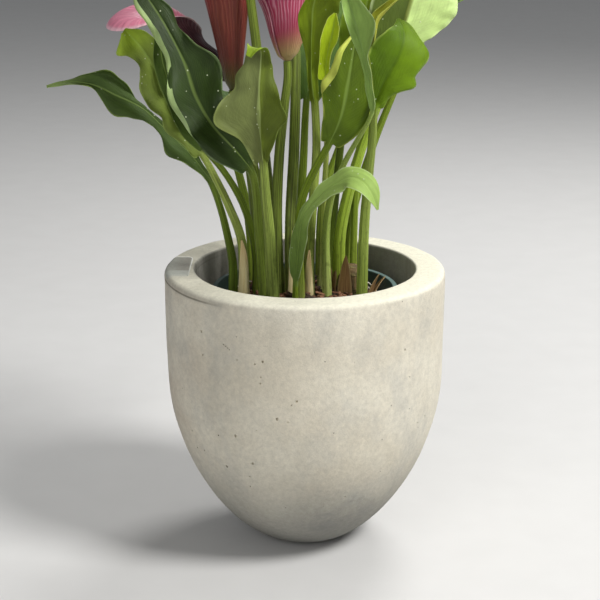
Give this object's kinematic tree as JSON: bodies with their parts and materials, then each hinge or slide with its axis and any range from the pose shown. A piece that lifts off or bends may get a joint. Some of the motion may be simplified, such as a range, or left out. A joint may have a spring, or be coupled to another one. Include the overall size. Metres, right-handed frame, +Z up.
{
  "type": "potted calla lily",
  "caption": "Calla lily with wavy leaves, rolled pink and maroon spathes and papery sheaths, in soil in a thin plastic pot inside a rounded concrete cover pot with a thick rim.",
  "frame": {"origin": "middle of the small flat face that the concrete cover pot rests on", "axes": "+Z up along the pot's axis, -Y towards the viewer of the front, -X towards the leaf that reaches out furthest on the left; the longest extent is along Z"},
  "size_m": [0.2762, 0.2208, 0.4271],
  "materials": {
    "concrete": "matt cast concrete with small air holes",
    "pot_plastic": "dark green moulded plastic",
    "soil": "loose dark peat with bark fibres",
    "crown_bark": "dry fibrous brown skin",
    "sheath_paper": "dry thin papery leaf sheath",
    "leaf_dark": "waxy dark green leaf",
    "leaf_olive": "waxy olive green leaf",
    "leaf_pale": "pale grey-green leaf",
    "leaf_bright": "glossy bright green leaf",
    "stem_green": "smooth speckled green stem",
    "spathe_wine": "waxy wine-red spathe with a pink lip",
    "spathe_salmon": "waxy brown-red spathe with a salmon flap",
    "spathe_magenta": "waxy magenta spathe with fine veins",
    "spadix_yellow": "rough spike of tiny yellow florets"
  },
  "bodies": {
    "root": {"leaf_far_left": "leaf_dark", "leaf_hooded": "leaf_olive", "leaf_dark_narrow": "leaf_dark", "leaf_left_large": "leaf_dark", "leaf_centre_pale": "leaf_pale", "leaf_tall_olive": "leaf_olive", "leaf_young_yellow": "leaf_bright", "leaf_front_olive": "leaf_olive", "leaf_grey_green": "leaf_pale", "leaf_right_bright": "leaf_bright", "leaf_top_right": "leaf_pale", "leaf_low_arching": "leaf_bright", "leaf_rolled_bud": "leaf_bright", "leaf_behind_green": "leaf_bright", "leaf_far_right": "leaf_dark", "leaf_back_left": "leaf_dark", "leaf_back_middle": "leaf_dark", "leaf_back_right": "leaf_dark", "flower_left_stem": "stem_green", "flower_left_spathe": "spathe_wine", "flower_left_spadix": "spadix_yellow", "flower_tube_stem": "stem_green", "flower_tube_spathe": "spathe_salmon", "flower_tube_spadix": "spadix_yellow", "flower_middle_stem": "stem_green", "flower_middle_spathe": "spathe_magenta", "flower_middle_spadix": "spadix_yellow", "flower_high_stem": "stem_green", "flower_high_spathe": "spathe_magenta", "flower_high_spadix": "spadix_yellow", "flower_back_stem": "stem_green", "flower_back_spathe": "spathe_magenta", "flower_back_spadix": "spadix_yellow", "sheath_left": "sheath_paper", "sheath_middle": "sheath_paper", "sheath_right": "sheath_paper", "concrete_pot": "concrete", "nursery_pot": "pot_plastic", "soil": "soil", "tuber_crown": "crown_bark"}
  },
  "joints": []
}
